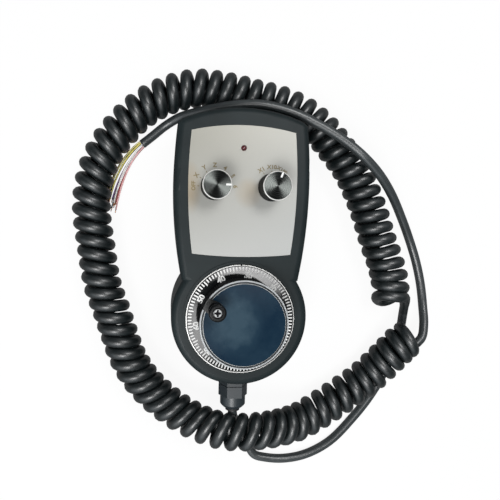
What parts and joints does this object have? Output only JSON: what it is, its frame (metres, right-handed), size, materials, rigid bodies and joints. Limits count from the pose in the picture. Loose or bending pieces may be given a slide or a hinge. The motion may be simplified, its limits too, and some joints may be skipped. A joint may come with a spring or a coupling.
{
  "type": "pulse generator handwheel",
  "caption": "Handheld manual pulse generator pendant with a graduated handwheel and crank, two rotary selectors, a pilot light, a cable gland and a curly cord with stripped cores",
  "frame": {"origin": "centre of the handwheel axis on the back face", "axes": "+X to the right of the user, +Y to the upper end with the switches, +Z out of the front face; the back lies on the XY plane"},
  "size_m": [0.2259, 0.2468, 0.0712],
  "materials": {
    "matte_black": "moulded, fine texture",
    "satin_silver": "satin anodised",
    "red_lens": "clear lens",
    "tinned_wire": "tinned",
    "circuit_board": "solder mask",
    "zinc_steel": "zinc plated",
    "brass": "machined",
    "switch_plastic": "moulded",
    "nickel_brass": "nickel plated",
    "ground_steel": "ground",
    "dark_aluminium": "anodised, spun",
    "white_paint": "filled line",
    "bright_aluminium": "turned",
    "die_cast": "die cast",
    "gold_pins": "plated",
    "gloss_black": "polished",
    "navy_film": "printed disc",
    "green_plastic": "moulded",
    "encoder_glass": "graduated disc",
    "seal_rubber": "moulded",
    "gland_plastic": "moulded",
    "cord_jacket": "smooth jacket",
    "core_insulation": "coloured insulation"
  },
  "bodies": {
    "housing": {"front_shell": "matte_black", "rear_shell": "matte_black", "shell_gasket": "seal_rubber", "housing_screws": "zinc_steel", "threaded_inserts": "brass", "face_plate": "satin_silver", "led_lens": "red_lens", "led_leads": "tinned_wire", "switch_board": "circuit_board", "board_screws": "zinc_steel", "switch_pins": "gold_pins", "axis_switch_body": "switch_plastic", "axis_switch_bushing": "nickel_brass", "axis_switch_nut": "nickel_brass", "scale_switch_body": "switch_plastic", "scale_switch_bushing": "nickel_brass", "scale_switch_nut": "nickel_brass", "bezel_ring": "bright_aluminium", "encoder_body": "die_cast", "encoder_studs": "zinc_steel", "encoder_nuts": "zinc_steel", "front_bearing": "ground_steel", "rear_bearing": "ground_steel", "encoder_pcb": "circuit_board", "optical_head": "switch_plastic", "detent_spring": "tinned_wire", "terminal_block": "green_plastic", "terminal_screws": "zinc_steel", "gland_body": "gland_plastic", "gland_nut": "gland_plastic", "gland_seal": "seal_rubber", "gland_locknut": "brass", "gland_washer": "seal_rubber", "cable_inner_end": "cord_jacket", "cord_tail": "cord_jacket", "curly_cord": "cord_jacket", "cord_lead": "cord_jacket", "core_wires": "core_insulation"},
    "handwheel": {"encoder_shaft": "ground_steel", "detent_wheel": "die_cast", "code_disc": "encoder_glass", "dial_ring": "gloss_black", "wheel_cap": "dark_aluminium", "cap_disc": "navy_film", "wheel_screw": "zinc_steel", "crank_foot": "gloss_black", "crank_pin": "zinc_steel"},
    "crank": {"crank_knob": "gloss_black"},
    "axis_selector": {"axis_shaft": "ground_steel", "axis_knob": "dark_aluminium", "axis_knob_pointer": "white_paint", "axis_knob_grub": "zinc_steel"},
    "scale_selector": {"scale_shaft": "ground_steel", "scale_knob": "dark_aluminium", "scale_knob_pointer": "white_paint", "scale_knob_grub": "zinc_steel"}
  },
  "joints": [
    {"name": "handwheel_turn", "type": "hinge", "parent": "housing", "child": "handwheel", "pos_m": [0, 0, 0.045], "axis": [0, 0, 1], "continuous": true},
    {"name": "crank_spin", "type": "hinge", "parent": "handwheel", "child": "crank", "pos_m": [-0.01522, 0.00844, 0.065], "axis": [0, 0, 1], "continuous": true},
    {"name": "axis_select", "type": "hinge", "parent": "housing", "child": "axis_selector", "pos_m": [-0.0156, 0.0723, 0.05], "axis": [0, 0, 1], "range_deg": [0, 180]},
    {"name": "scale_select", "type": "hinge", "parent": "housing", "child": "scale_selector", "pos_m": [0.0156, 0.0723, 0.05], "axis": [0, 0, 1], "range_deg": [0, 60]}
  ]
}
